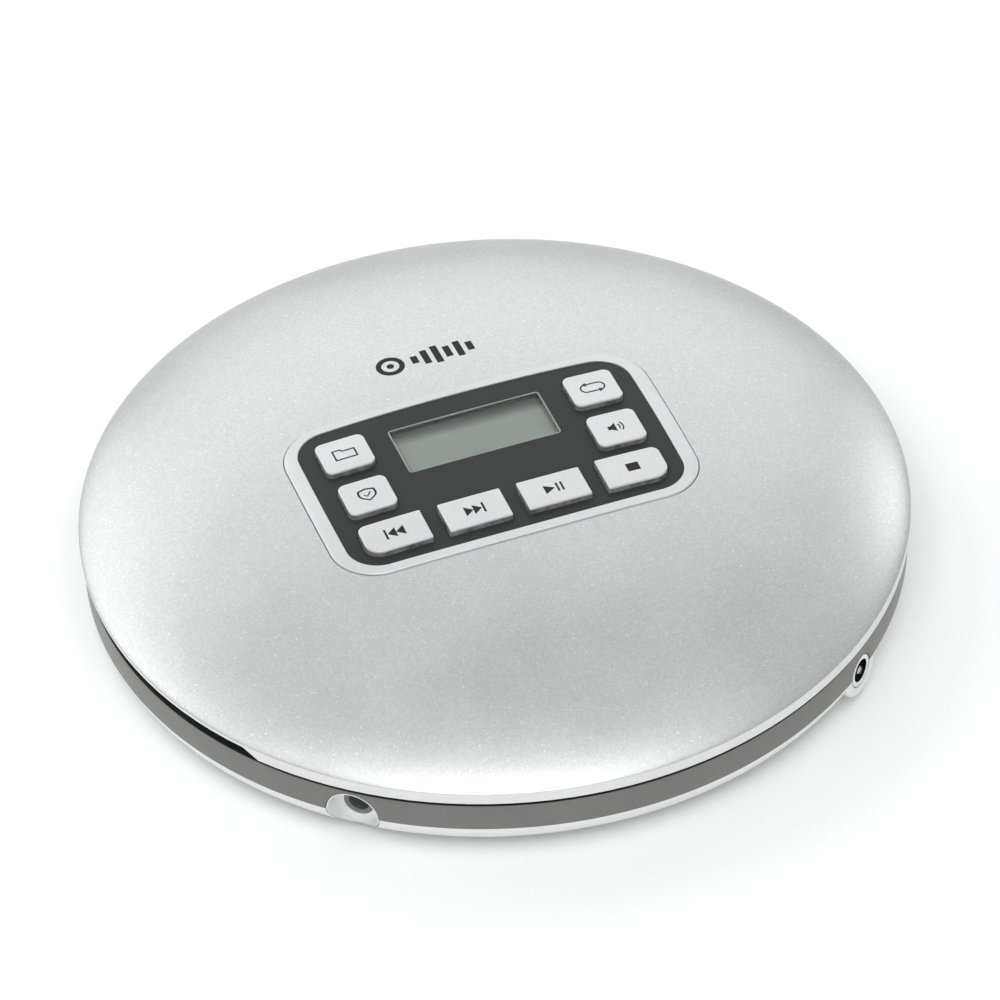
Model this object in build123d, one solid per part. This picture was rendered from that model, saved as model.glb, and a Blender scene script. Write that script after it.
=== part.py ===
from build123d import *
import math
import os

# Portable disc player: a flat round case with a domed lid that opens on a hidden hinge.
# Millimetres. Origin at the centre of the footprint on the table, +Z up, front towards -Y.
# Compass angles run from the front (-Y) and grow towards +X.

# Driving dimensions
LID_R = 70.0
BAND_R = 69.5
FOOT_H = 0.8
BAND_BOTTOM = 6.2
BAND_TOP = 12.1
BAND_STEP = (67.6, 11.7)
SPLIT = 12.4
STRIP_TOP = 14.4
DOME_RISE = 9.42
BUTTON_RISE = 1.05
BEZEL_RISE = 0.25
PANEL_THICK = 0.9

# Lid inside
SHELL_INSIDE_R = 68.2
SHELL_INSIDE_RISE = 8.02
CEILING = 15.2
CEILING_THICK = 1.0
LEDGE = 13.2

# Case inside
DECK_FLOOR = 9.4
DECK_THICK = 1.2
WELL_R = 62.4
FLOOR_TOP = 2.4
BOARD_GAP = 0.2
BOARD_THICK = 1.0
BOARD_TOP = FLOOR_TOP + BOARD_GAP + BOARD_THICK
JACK_Z = 6.2
JACK_ANGLE = 40.0
CUP_R = 4.5
CUP_HOLE_R = 4.65
POWER_HOLE_R = 3.1
POWER_BORE_R = 2.1
POWER_SLEEVE_R = 2.85
POWER_BACK_R = 57.0
POWER_FACE_R = 63.6

# Hinge, at the side across from the finger recess
HINGE_X = 67.0
HINGE_Z = 10.9
BARREL_R = 1.4
HINGE_PIN_R = 0.7
HINGE_HALF = 13.0
HINGE_GAP_HALF = 16.5
KNUCKLE_SPANS = [(-9.5, -4.0), (4.0, 9.5)]
LUG_SPANS = [(-13.0, -9.7), (-3.8, 3.8), (9.7, 13.0)]

# Finger recess under the lid's edge
RECESS_HALF_ANGLE = 34.0
RECESS_TOP = 13.85
RECESS_R = 66.0
RECESS_RAMP = 3.0

# Panel and keys
PANEL = (29.9, -17.1, 18.9, 5.6)
BEZEL = (32.5, -19.0, 20.4, 8.0)
WINDOW = (-13.65, 13.6, 2.8, 14.45)
WINDOW_Z = (22.2, 22.7, 23.5)
KEY_GAP = 0.25
KEY_FLANGE = 0.6
KEY_FLANGE_Z = 21.5
KEY_FLANGE_THICK = 0.5
KEY_SHARP = 0.25
KEY_SOFT = (1.3, 1.3, 1.3, 1.3)
KEY_SQUARE = (KEY_SHARP, KEY_SHARP, KEY_SHARP, KEY_SHARP)
KEY_LEFT_END = (2.8, KEY_SHARP, KEY_SHARP, 1.4)
KEY_RIGHT_END = (KEY_SHARP, 2.8, 1.4, KEY_SHARP)

# name: x from, x to, y from, y to, corner radii from the front left corner round to the rear left one
KEYS = {
    "key_folder": (-26.65, -17.95, 6.9, 14.85, KEY_SOFT),
    "key_antishock": (-26.5, -18.0, -4.35, 3.5, KEY_SOFT),
    "key_mode": (17.8, 26.45, 6.75, 14.75, KEY_SOFT),
    "key_sound": (17.85, 26.45, -4.4, 3.6, KEY_SOFT),
    "key_previous": (-26.8, -15.6, -14.45, -7.35, KEY_LEFT_END),
    "key_next": (-12.6, -1.55, -14.45, -7.45, KEY_SQUARE),
    "key_play": (1.4, 12.5, -14.45, -7.45, KEY_SQUARE),
    "key_stop": (15.5, 26.7, -14.45, -7.1, KEY_RIGHT_END),
}

# Drive
SHAFT_R = 0.75
MOTOR_R = 9.0
HUB_R = 7.4
SHOULDER_R = 14.5
DISC_SEAT = 12.4
LENS_Y = 24.5
ROD_X = 19.0
ROD_R = 1.0
ROD_Z = 6.6
SCREW_X = 15.2
SCREW_R = 1.1
SCREW_Z = 6.8
RUNNING = 0.05

UP = (Align.CENTER, Align.CENTER, Align.MIN)


def save(shape, name):
    export_step(shape, "parts/" + name + ".step")


def spot(radius, degrees):
    turn = math.radians(degrees)
    return radius * math.sin(turn), -radius * math.cos(turn)


def rod(radius, x, y, low, high):
    return Pos(x, y, low) * Cylinder(radius, high - low, align=UP)


def block(x0, x1, y0, y1, z0, z1):
    middle = Pos((x0 + x1) / 2, (y0 + y1) / 2, z0)
    return middle * Box(x1 - x0, y1 - y0, z1 - z0, align=UP)


def outward(degrees, radius, height):
    # A plane on the case's side whose normal points straight out of the case.
    x, y = spot(radius, degrees)
    dx, dy = spot(1.0, degrees)
    return Plane(origin=(x, y, height), z_dir=(dx, dy, 0), x_dir=(-dy, dx, 0))


def side_rod(degrees, from_r, to_r, radius, height=JACK_Z):
    return outward(degrees, from_r, height) * Cylinder(radius, to_r - from_r, align=UP)


def side_block(degrees, from_r, to_r, wide, low, high):
    body = Box(wide, high - low, to_r - from_r, align=UP)
    return outward(degrees, from_r, (low + high) / 2) * body


def along_y(radius, x, z, y0, y1):
    start = Plane(origin=(x, y0, z), z_dir=(0, 1, 0), x_dir=(1, 0, 0))
    return start * Cylinder(radius, y1 - y0, align=UP)


def turned(points):
    # A body turned from a closed outline of (radius, height) corners.
    outline = Polyline(*[(r, 0, z) for r, z in points], close=True)
    return revolve(make_face(outline), Axis.Z)


def crown(radius, rim_r, rise):
    share = max(0.0, 1.0 - (radius / rim_r) ** 2.98)
    return STRIP_TOP + rise * share**0.8


def dome(raised, rim_r=LID_R, rise=DOME_RISE):
    # Everything under the lid's crown, lifted by `raised`, down to well under the crown's edge.
    floor = STRIP_TOP - 3.0
    stations = [0.0, 0.2, 0.4, 0.58, 0.73, 0.85, 0.93, 0.975, 1.0]
    curve = [(share * rim_r, 0, crown(share * rim_r, rim_r, rise) + raised) for share in stations]
    top = Spline(*curve, tangents=[(1, 0, 0), (0.42, 0, -1)])
    side = Polyline(curve[-1], (rim_r, 0, floor), (0, 0, floor), curve[0])
    return revolve(make_face(Curve() + [top, side]), Axis.Z)


def bowed_outline(half_x, y0, y1, corner):
    # A rounded rectangle whose four sides bow outwards a little.
    bow_y = 0.6
    bow_x = 0.25
    left, right = -half_x + bow_x, half_x - bow_x
    low, high = y0 + bow_y, y1 - bow_y
    middle = (y0 + y1) / 2
    edges = [
        ThreePointArc((left, low), (0, y0), (right, low)),
        ThreePointArc((right, low), (half_x, middle), (right, high)),
        ThreePointArc((right, high), (0, y1), (left, high)),
        ThreePointArc((left, high), (-half_x, middle), (left, low)),
    ]
    face = make_face(Curve() + edges)
    return fillet(face.vertices(), corner)


def key_outline(x0, x1, y0, y1, radii, grow=0.0):
    middle = Pos((x0 + x1) / 2, (y0 + y1) / 2)
    face = middle * Rectangle(x1 - x0 + 2 * grow, y1 - y0 + 2 * grow)
    places = [(x0, y0), (x1, y0), (x1, y1), (x0, y1)]
    for (x, y), radius in zip(places, radii):
        corner = min(face.vertices(), key=lambda v: math.hypot(v.X - x, v.Y - y))
        face = fillet(corner, radius + grow)
    return face


def prism(face, low, high):
    return extrude(Pos(0, 0, low) * face, high - low)


def ring_sector(inner, outer, low, high, degrees, half_angle):
    # The part of a ring within half_angle of a compass angle.
    ring = rod(outer, 0, 0, low, high) - rod(inner, 0, 0, low, high)
    reach = 2 * LID_R
    near = spot(reach, degrees - half_angle)
    mid = spot(reach, degrees)
    far = spot(reach, degrees + half_angle)
    wedge = make_face(Polyline((0, 0), near, mid, far, close=True))
    return ring & prism(wedge, low, high)


# ---- Case ----

POST_SPOTS = [spot(58.0, angle) for angle in (-68, 68, -130, 130)]
FOOT_SPOTS = [spot(52.0, angle) for angle in (-45, 45, -135, 135)]
BATTERY = (-22.0, 22.0, -54.0, -24.0)
WHEEL_R = 7.0
WHEEL_ANGLE = 150.0
WHEEL_CENTRE = 63.0
WHEEL_Z = (7.4, 9.0)
SWITCH_ANGLE = -104.0
SWITCH_R = 64.2
HOOK_R = (63.6, 65.0)
HOOK_TIP = 10.6
HOOK_HALF = 4.0


def base_form(inset, inside):
    # The base's turned form: its curved outer side, closed by the given inner outline.
    side = [(61.0, FOOT_H), (64.9, 1.15), (67.3, 2.4), (68.7, 4.3), (69.3, BAND_BOTTOM)]
    side = [(r - inset, 0, z) for r, z in side]
    curve = Spline(*side, tangents=[(1, 0, 0), (0.02, 0, 1)])
    rest = Polyline(side[-1], *[(r, 0, z) for r, z in inside], (0, 0, FOOT_H), side[0])
    return revolve(make_face(Curve() + [curve, rest]), Axis.Z)


def base_shell():
    inside = [(67.4, BAND_BOTTOM), (66.2, 3.6), (61.0, FLOOR_TOP), (0, FLOOR_TOP)]
    shell = base_form(0.0, inside)
    boss = side_rod(JACK_ANGLE, 66.1, 69.4, 4.8)
    shell += boss & block(0, 75, -75, 0, FOOT_H + 0.4, BAND_BOTTOM)
    for x, y in POST_SPOTS:
        shell += rod(3.2, x, y, FLOOR_TOP - 0.2, 7.0)
        shell -= rod(2.4, x, y, 0, 3.0)
        shell -= rod(1.1, x, y, 2.9, 7.1)
    for x, y in FOOT_SPOTS:
        shell -= rod(4.6, x, y, 0, 1.4)
    x0, x1, y0, y1 = BATTERY
    shell -= block(x0 - 2.1, x1 + 2.1, y0 - 1.1, y1 + 1.6, 0, 1.65)
    shell -= block(x0 + 1, x1 - 1, y0 + 1, y1 - 1, 0, 3)
    shell -= side_rod(-JACK_ANGLE, 60, 72, CUP_HOLE_R)
    shell -= side_rod(JACK_ANGLE, 60, 72, POWER_HOLE_R)
    return shell


def battery_cover():
    x0, x1, y0, y1 = BATTERY
    cover = block(x0 - 2, x1 + 2, y0 - 1, y1 + 1.5, FOOT_H, 1.6)
    for rib in range(5):
        groove = y1 - 2.0 - rib * 1.4
        cover -= block(-7, 7, groove, groove + 0.6, FOOT_H - 0.1, FOOT_H + 0.25)
    return cover


def mid_band():
    # A step at the top makes the shadow line under the lid's edge.
    step_r, step_z = BAND_STEP
    band = turned([(66.6, BAND_BOTTOM), (BAND_R, BAND_BOTTOM), (BAND_R, step_z), (step_r, step_z),
                   (step_r, BAND_TOP), (66.6, BAND_TOP)])
    band -= block(60, 75, -HINGE_GAP_HALF, HINGE_GAP_HALF, 0, 20)
    band -= side_rod(-JACK_ANGLE, 60, 72, CUP_HOLE_R)
    band -= side_rod(JACK_ANGLE, 60, 72, POWER_HOLE_R)
    band -= side_block(WHEEL_ANGLE, 60, 75, 13.2, WHEEL_Z[0] - 0.3, WHEEL_Z[1] + 0.3)
    return band


def deck_plate():
    low = DECK_FLOOR
    high = DECK_FLOOR + DECK_THICK
    deck = turned([(0, low), (WELL_R, low), (WELL_R, 10.9), (66.5, 10.9), (66.5, BAND_TOP),
                   (WELL_R - 1.2, BAND_TOP), (WELL_R - 1.2, high), (0, high)])
    window = Pos(0, 19.5) * Rectangle(32, 79)
    window = fillet(window.vertices(), 6)
    deck -= prism(window, low - 1, high + 1)
    deck -= block(60, 75, -HINGE_GAP_HALF, HINGE_GAP_HALF, 0, 20)
    deck += block(57.5, 64.0, -HINGE_GAP_HALF, HINGE_GAP_HALF, BAND_BOTTOM + 0.1, high)
    deck += block(62.5, 64.0, -HINGE_GAP_HALF, HINGE_GAP_HALF, BAND_BOTTOM + 0.1, BAND_TOP)
    for y0, y1 in LUG_SPANS:
        lug = block(63.5, HINGE_X, y0, y1, HINGE_Z - BARREL_R, HINGE_Z + BARREL_R)
        lug += along_y(BARREL_R, HINGE_X, HINGE_Z, y0, y1)
        deck += lug
    deck -= along_y(HINGE_PIN_R, HINGE_X, HINGE_Z, -HINGE_HALF - 1, HINGE_HALF + 1)
    for x, y in POST_SPOTS:
        deck += rod(2.8, x, y, 7.0, low + 0.2)
        deck -= rod(1.0, x, y, 6.0, 9.2)
    deck -= rod(1.0 + RUNNING, *spot(SWITCH_R, SWITCH_ANGLE), 10, 13)
    deck -= block(-HOOK_R[1] - 0.5, -HOOK_R[0] + 0.5, -HOOK_HALF - 0.5, HOOK_HALF + 0.5, 10, 13)
    return deck


def case_screw(x, y):
    screw = rod(2.2, x, y, 1.6, 3.0) + rod(1.0, x, y, 2.9, 9.0)
    screw -= rod(0.9, x, y, 1.0, 2.4)
    return screw


def foot(x, y):
    pad = rod(4.5, x, y, 0, 1.4)
    return fillet(pad.edges().sort_by(Axis.Z)[0], 0.4)


def volume_wheel():
    low, high = WHEEL_Z
    x, y = spot(WHEEL_CENTRE, WHEEL_ANGLE)
    wheel = rod(WHEEL_R, x, y, low, high)
    notches = 36
    for step in range(notches):
        dx, dy = spot(WHEEL_R, 360 * step / notches)
        wheel -= rod(0.28, x + dx, y + dy, low - 1, high + 1)
    return wheel - rod(1.5 + RUNNING, x, y, low - 1, high + 1)


def volume_control():
    low, high = WHEEL_Z
    body = side_block(WHEEL_ANGLE, 58.0, 65.0, 9.0, BOARD_TOP, low - 0.2)
    return body + rod(1.5, *spot(WHEEL_CENTRE, WHEEL_ANGLE), low - 0.3, high)


# ---- Boards and sockets ----

def board(sign):
    # One crescent circuit board on the case floor, clear of the screw posts and the battery.
    plate = rod(60.0, 0, 0, BOARD_TOP - BOARD_THICK, BOARD_TOP)
    inner = 26.0
    if sign > 0:
        plate &= block(inner, 70, -70, 54, 0, 10)
    else:
        plate &= block(-70, -inner, -70, 54, 0, 10)
    for x, y in POST_SPOTS:
        plate -= rod(3.6, x, y, 0, 10)
    return plate


def board_chips():
    top = BOARD_TOP
    chips = [
        block(-44, -32, -12, 0, top, top + 1.6),
        block(-47, -37, 8, 18, top, top + 1.4),
        block(-34, -29, 10, 18, top, top + 1.2),
        block(-41, -33, 26, 33, top, top + 2.0),
        rod(2.5, -50, -2, top, top + 4.0),
        rod(2.0, -31, -24, top, top + 3.6),
        block(34, 44, -6, 6, top, top + 1.6),
        rod(2.5, 33, 14, top, top + 4.4),
        block(32, 42, 24, 32, top, top + 2.6),
    ]
    return Compound(children=chips)


def headphone_jack():
    body = side_block(-JACK_ANGLE, 51.5, 64.3, 7.0, 3.6, 8.8)
    body += side_rod(-JACK_ANGLE, 64.0, 66.0, 2.55)
    return body - side_rod(-JACK_ANGLE, 52.0, 67.0, 1.8)


def headphone_collar():
    # A silver cup set into the side; its lip follows the round of the case.
    inset = 0.15
    form = base_form(inset, [(BAND_R - inset, BAND_BOTTOM), (BAND_R - inset, BAND_TOP), (0, BAND_TOP)])
    collar = side_rod(-JACK_ANGLE, 64.6, 70.0, CUP_R) - side_rod(-JACK_ANGLE, 66.2, 72.0, CUP_R - 0.2)
    return (collar & form) - side_rod(-JACK_ANGLE, 60.0, 72.0, 2.6)


def power_jack():
    body = side_block(JACK_ANGLE, 53.5, POWER_FACE_R, 7.6, BOARD_TOP, 8.8)
    return body - side_rod(JACK_ANGLE, POWER_BACK_R, 72.0, POWER_BORE_R)


def power_jack_sleeve():
    sleeve = side_rod(JACK_ANGLE, POWER_FACE_R, 69.3, POWER_SLEEVE_R)
    return sleeve - side_rod(JACK_ANGLE, POWER_FACE_R - 1, 72.0, POWER_BORE_R)


def power_jack_pin():
    return side_rod(JACK_ANGLE, POWER_BACK_R, 67.6, 0.7)


# ---- Disc drive ----

def chassis():
    plate = block(-21, 21, -18, 59.5, 4.0, 5.0)
    plate -= rod(MOTOR_R + 0.1, 0, 0, 3, 6)
    opening = Pos(0, 37) * Rectangle(26, 32)
    plate -= prism(fillet(opening.vertices(), 3), 3, 6)
    for side in (-1, 1):
        x = side * ROD_X
        for y0 in (6.5, 57.5):
            plate += block(x - 1.8, x + 1.8, y0, y0 + 2.0, 4.9, 8.4)
        plate -= along_y(ROD_R, x, ROD_Z, 6.0, 60.0)
    plate += block(SCREW_X - 2.1, SCREW_X + 2.1, 57.5, 59.5, 4.9, 8.4)
    return plate - along_y(SCREW_R + RUNNING, SCREW_X, SCREW_Z, 57.0, 60.0)


def damper(x, y):
    return rod(2.6, x, y, FLOOR_TOP, 4.0)


def spindle_motor():
    motor = rod(MOTOR_R, 0, 0, 2.6, 7.6) + rod(MOTOR_R + 0.8, 0, 0, 5.0, 5.6)
    return motor - rod(SHAFT_R + RUNNING, 0, 0, 3.0, 8.0)


def spindle_shaft():
    return rod(SHAFT_R, 0, 0, 3.2, 13.0)


def disc_hub():
    hub = turned([(0, 8.4), (3.2, 8.4), (3.2, 10.4), (SHOULDER_R, 11.4), (SHOULDER_R, DISC_SEAT),
                  (HUB_R, DISC_SEAT), (HUB_R, 13.4), (6.6, 14.2), (0, 14.4)])
    hub -= rod(SHAFT_R, 0, 0, 8.0, 13.0)
    for step in range(3):
        turn = math.radians(30 + 120 * step)
        hub -= rod(1.2, 6.6 * math.cos(turn), 6.6 * math.sin(turn), 12.9, 15)
    return hub


def hub_ball(step):
    # One of the three sprung balls that grip the disc's centre hole.
    turn = math.radians(30 + 120 * step)
    return Pos(6.2 * math.cos(turn), 6.2 * math.sin(turn), 13.8) * Sphere(0.85)


def guide_rod(x):
    return along_y(ROD_R, x, ROD_Z, 6.5, 59.5)


def sled_motor():
    motor = block(SCREW_X - 3.6, SCREW_X + 3.6, -12.5, 6.0, 5.0, 8.8)
    return motor - along_y(SCREW_R + RUNNING, SCREW_X, SCREW_Z, 2.0, 7.0)


def lead_screw():
    return along_y(SCREW_R, SCREW_X, SCREW_Z, 3.0, 59.4)


def pickup_sled():
    sled = block(-12, 12, LENS_Y - 14, LENS_Y + 4, 6.0, 9.6)
    sled += block(-ROD_X - 2, ROD_X + 2, LENS_Y - 10, LENS_Y + 2, 5.2, 8.4)
    for side in (-1, 1):
        sled -= along_y(ROD_R + RUNNING, side * ROD_X, ROD_Z, 0, 70)
    sled -= along_y(SCREW_R + 0.1, SCREW_X, SCREW_Z, 0, 70)
    sled += block(-9, 9, LENS_Y - 8, LENS_Y - 5.5, 9.5, 10.6)
    return sled - rod(3.0, 0, LENS_Y, 8.0, 11.0)


def lens_holder():
    holder = block(-4.2, 4.2, LENS_Y - 4.4, LENS_Y + 3.4, 10.0, 10.7)
    holder += rod(2.7, 0, LENS_Y, 8.6, 11.1)
    return holder - rod(1.9, 0, LENS_Y, 8.0, 12.0)


def objective_lens():
    return rod(1.9, 0, LENS_Y, 9.9, 10.4) + Pos(0, 0, 10.4) * (Pos(0, LENS_Y, 0) * Cone(1.9, 1.1, 0.5, align=UP))


def lid_switch():
    return side_block(SWITCH_ANGLE, 56.5, 65.4, 6.0, BOARD_TOP, 8.8)


def lid_switch_plunger():
    x, y = spot(SWITCH_R, SWITCH_ANGLE)
    return rod(1.0, x, y, 9.2, 13.3) + rod(1.6, x, y, 9.2, 9.9)


# ---- Lid ----

LID_SCREW_SPOTS = [spot(50.0, angle) for angle in (45, 135, 225, 315)]
SHELF_SPOTS = [(-25.0, -13.0), (25.0, -13.0), (-25.0, 13.5), (25.0, 13.5)]


def lid_shell():
    shell = dome(0.0) - dome(0.0, SHELL_INSIDE_R, SHELL_INSIDE_RISE)
    shell -= rod(LID_R + 1, 0, 0, STRIP_TOP - 5.0, STRIP_TOP)
    inside = dome(0.3, SHELL_INSIDE_R, SHELL_INSIDE_RISE)
    for x, y in LID_SCREW_SPOTS:
        shell += rod(2.4, x, y, CEILING + CEILING_THICK, 22) & inside
        shell -= rod(0.9, x, y, CEILING, 19.5)
    half, y0, y1, corner = BEZEL
    aperture = bowed_outline(half + 0.08, y0 - 0.08, y1 + 0.08, corner)
    return shell - prism(aperture, 17, 26)


def finger_recess():
    # Room for a fingertip under the lid's edge; a short ramp ends it at each side.
    recess = ring_sector(RECESS_R, LID_R + 1, SPLIT - 1, RECESS_TOP, -90, RECESS_HALF_ANGLE)
    rise = RECESS_TOP - SPLIT
    for side in (-1, 1):
        plane = outward(-90 + side * RECESS_HALF_ANGLE, RECESS_R, SPLIT)
        run = side * RECESS_RAMP
        ramp = make_face(Polyline((-0.1 * side, -1), (-0.1 * side, rise), (0, rise), (run, 0), (run, -1), close=True))
        recess += extrude(plane * ramp, LID_R + 1 - RECESS_R, dir=plane.z_dir)
    return recess


def lid_liner():
    top = CEILING + CEILING_THICK
    liner = turned([(0, CEILING), (60.8, CEILING), (65.2, LEDGE), (67.2, LEDGE), (67.2, SPLIT), (LID_R, SPLIT),
                    (LID_R, STRIP_TOP), (66.0, STRIP_TOP), (61.0, top), (0, top)])
    for x, y in LID_SCREW_SPOTS:
        liner -= rod(1.9, x, y, CEILING - 1, CEILING + 0.6)
        liner -= rod(1.0, x, y, CEILING, top + 1)
    for x, y in SHELF_SPOTS:
        liner += rod(1.8, x, y, top - 0.2, 19.2)
    liner -= finger_recess()
    for y0, y1 in KNUCKLE_SPANS:
        arm = block(HINGE_X - BARREL_R, HINGE_X + BARREL_R, y0, y1, HINGE_Z, SPLIT + 0.4)
        arm += block(HINGE_X - BARREL_R, HINGE_X, y0, y1, SPLIT, 13.6)
        liner += arm + along_y(BARREL_R, HINGE_X, HINGE_Z, y0, y1)
    return liner - along_y(HINGE_PIN_R + RUNNING, HINGE_X, HINGE_Z, -30, 30)


def lid_hook():
    # A tongue that clicks into the deck's rim, hung from a foot under the liner's ledge.
    tongue = block(-HOOK_R[1], -HOOK_R[0], -HOOK_HALF, HOOK_HALF, HOOK_TIP, LEDGE)
    return tongue + block(-RECESS_R, -64.0, -HOOK_HALF, HOOK_HALF, SPLIT + 0.1, LEDGE)


def panel_bezel():
    half, y0, y1, corner = BEZEL
    ring = prism(bowed_outline(half, y0, y1, corner), 20.8, 26)
    half, y0, y1, corner = PANEL
    ring -= prism(bowed_outline(half, y0, y1, corner), 20, 27)
    return ring & dome(BEZEL_RISE)


def panel_plate():
    half, y0, y1, corner = PANEL
    gap = 0.05
    plate = prism(bowed_outline(half - gap, y0 + gap, y1 - gap, corner), 20, 26)
    plate = (plate & dome(0.0)) - dome(-PANEL_THICK)
    for sizes in KEYS.values():
        plate -= prism(key_outline(*sizes, grow=KEY_GAP), 19, 27)
    x0, x1, y0, y1 = WINDOW
    return plate - block(x0, x1, y0, y1, 19, 27)


def lcd_window():
    x0, x1, y0, y1 = WINDOW
    flange = block(x0 - 1.2, x1 + 1.2, y0 - 1.0, y1 + 1.0, WINDOW_Z[0], WINDOW_Z[1])
    return flange + block(x0 + 0.05, x1 - 0.05, y0 + 0.05, y1 - 0.05, WINDOW_Z[0], WINDOW_Z[2])


def lcd_module():
    x0, x1, y0, y1 = WINDOW
    return block(x0 - 2.4, x1 + 2.4, y0 - 2.0, y1 + 1.9, 20.2, WINDOW_Z[0] - 0.1)


def keypad_board():
    return block(-28.5, 28.5, -16.5, 17.0, 19.2, 20.2)


def keypad_membrane():
    sheet = block(-28.0, 28.0, -16.2, 16.5, 20.2, 20.5)
    x0, x1, y0, y1 = WINDOW
    sheet -= block(x0 - 2.9, x1 + 2.9, y0 - 2.5, y1 + 4, 20, 21)
    for x0, x1, y0, y1, _ in KEYS.values():
        middle = ((x0 + x1) / 2, (y0 + y1) / 2)
        sheet += Pos(*middle, 20.4) * Cone(2.6, 1.6, 0.5, align=UP)
    return sheet


def key(sizes):
    cap = prism(key_outline(*sizes), KEY_FLANGE_Z, 26) & dome(BUTTON_RISE)
    flange = prism(key_outline(*sizes, grow=KEY_FLANGE), KEY_FLANGE_Z, KEY_FLANGE_Z + KEY_FLANGE_THICK)
    return cap + flange


def lid_screw(x, y):
    return rod(1.8, x, y, CEILING, CEILING + 0.6) + rod(0.9, x, y, CEILING + 0.5, 19.3)


def group(pieces):
    return Compound(children=list(pieces))


def main():
    os.makedirs("parts", exist_ok=True)
    save(base_shell(), "base_shell")
    save(battery_cover(), "battery_cover")
    x0, x1, y0, y1 = BATTERY
    save(block(x0, x1, y0, y1, 2.6, 8.6), "battery_pack")
    save(mid_band(), "mid_band")
    save(deck_plate(), "deck_plate")
    save(along_y(HINGE_PIN_R, HINGE_X, HINGE_Z, -HINGE_HALF, HINGE_HALF), "hinge_pin")
    save(group(case_screw(x, y) for x, y in POST_SPOTS), "case_screws")
    save(group(foot(x, y) for x, y in FOOT_SPOTS), "rubber_feet")
    save(volume_wheel(), "volume_wheel")
    save(volume_control(), "volume_control")
    save(board(-1), "main_board")
    save(board(1), "power_board")
    save(board_chips(), "board_chips")
    save(headphone_jack(), "headphone_jack")
    save(headphone_collar(), "headphone_collar")
    save(power_jack(), "power_jack")
    save(power_jack_sleeve(), "power_jack_sleeve")
    save(power_jack_pin(), "power_jack_pin")
    save(chassis(), "drive_chassis")
    save(group(damper(x, y) for x, y in ((-18, -15), (18, -15), (-18, 53), (18, 53))), "drive_dampers")
    save(spindle_motor(), "spindle_motor")
    save(spindle_shaft(), "spindle_shaft")
    save(disc_hub(), "disc_hub")
    save(group(hub_ball(step) for step in range(3)), "hub_balls")
    save(group([guide_rod(-ROD_X), guide_rod(ROD_X)]), "guide_rods")
    save(sled_motor(), "sled_motor")
    save(lead_screw(), "lead_screw")
    save(pickup_sled(), "pickup_sled")
    save(lens_holder(), "lens_holder")
    save(objective_lens(), "objective_lens")
    save(lid_switch(), "lid_switch")
    save(lid_switch_plunger(), "lid_switch_plunger")
    save(lid_shell(), "lid_shell")
    save(lid_liner(), "lid_liner")
    save(lid_hook(), "lid_hook")
    save(group(lid_screw(x, y) for x, y in LID_SCREW_SPOTS), "lid_screws")
    save(panel_bezel(), "panel_bezel")
    save(panel_plate(), "panel_plate")
    save(lcd_window(), "lcd_window")
    save(lcd_module(), "lcd_module")
    save(keypad_board(), "keypad_board")
    save(keypad_membrane(), "keypad_membrane")
    for name, sizes in KEYS.items():
        save(key(sizes), name)


main()
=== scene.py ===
import math

import bmesh
import bpy
from mathutils import Matrix, Vector
from mathutils.geometry import delaunay_2d_cdt


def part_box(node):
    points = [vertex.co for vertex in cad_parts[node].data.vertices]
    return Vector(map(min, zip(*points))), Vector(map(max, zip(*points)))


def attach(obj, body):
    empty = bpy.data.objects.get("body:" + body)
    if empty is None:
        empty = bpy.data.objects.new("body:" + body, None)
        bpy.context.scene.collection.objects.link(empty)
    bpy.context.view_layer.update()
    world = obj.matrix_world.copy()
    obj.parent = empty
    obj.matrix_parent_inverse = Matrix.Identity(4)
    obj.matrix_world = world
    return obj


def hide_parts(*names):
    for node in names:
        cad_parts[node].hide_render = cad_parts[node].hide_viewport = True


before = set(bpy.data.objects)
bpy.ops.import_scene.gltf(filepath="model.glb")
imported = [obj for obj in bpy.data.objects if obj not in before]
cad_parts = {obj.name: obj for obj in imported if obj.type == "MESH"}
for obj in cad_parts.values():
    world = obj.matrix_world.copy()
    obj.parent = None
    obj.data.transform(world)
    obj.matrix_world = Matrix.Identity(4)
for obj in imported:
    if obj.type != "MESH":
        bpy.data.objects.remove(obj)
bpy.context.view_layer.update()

# Lengths below are millimetres; MM turns them into the scene's metres.
# Compass angles run from the front (-Y) and grow towards +X, in degrees.
MM = 0.001


def node_box(name):
    low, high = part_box(name)
    return [v / MM for v in low], [v / MM for v in high]


# ---- Sizes taken from the frame ----

LID_LOW, LID_HIGH = node_box("lid_shell")
BAND_LOW, BAND_HIGH = node_box("mid_band")
LID_R = LID_HIGH[0]
STRIP_TOP = LID_LOW[2]
BAND_BOTTOM = BAND_LOW[2]
BAND_TOP = BAND_HIGH[2]
BAND_R = BAND_HIGH[1]
SPLIT = BAND_TOP + 0.3
FLOOR = node_box("battery_cover")[0][2]
JACK_Z = 6.2
JACK_ANGLE = 40.0
CUP_HOLE_R = 4.65
POWER_HOLE_R = 3.1
POWER_BOSS_R = 4.8
CROWN_RISE = 9.42
CROWN_POWER = 2.98
KEY_RISE = 1.05
BEZEL_RISE = 0.25
KEY_FLANGE = 0.6
WINDOW_LIP_X = 1.2
WINDOW_LIP_Y = 1.0
GAP_HEIGHT = 0.72
GAP_DEPTH = 1.9
HINGE_HALF_WIDTH = 16.5
FOOT_RADIUS, FOOT_ANGLES = 52.0, (-45, 45, -135, 135)
SCREW_RADIUS, SCREW_ANGLES = 58.0, (-68, 68, -130, 130)
SEGMENTS = 288

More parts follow.
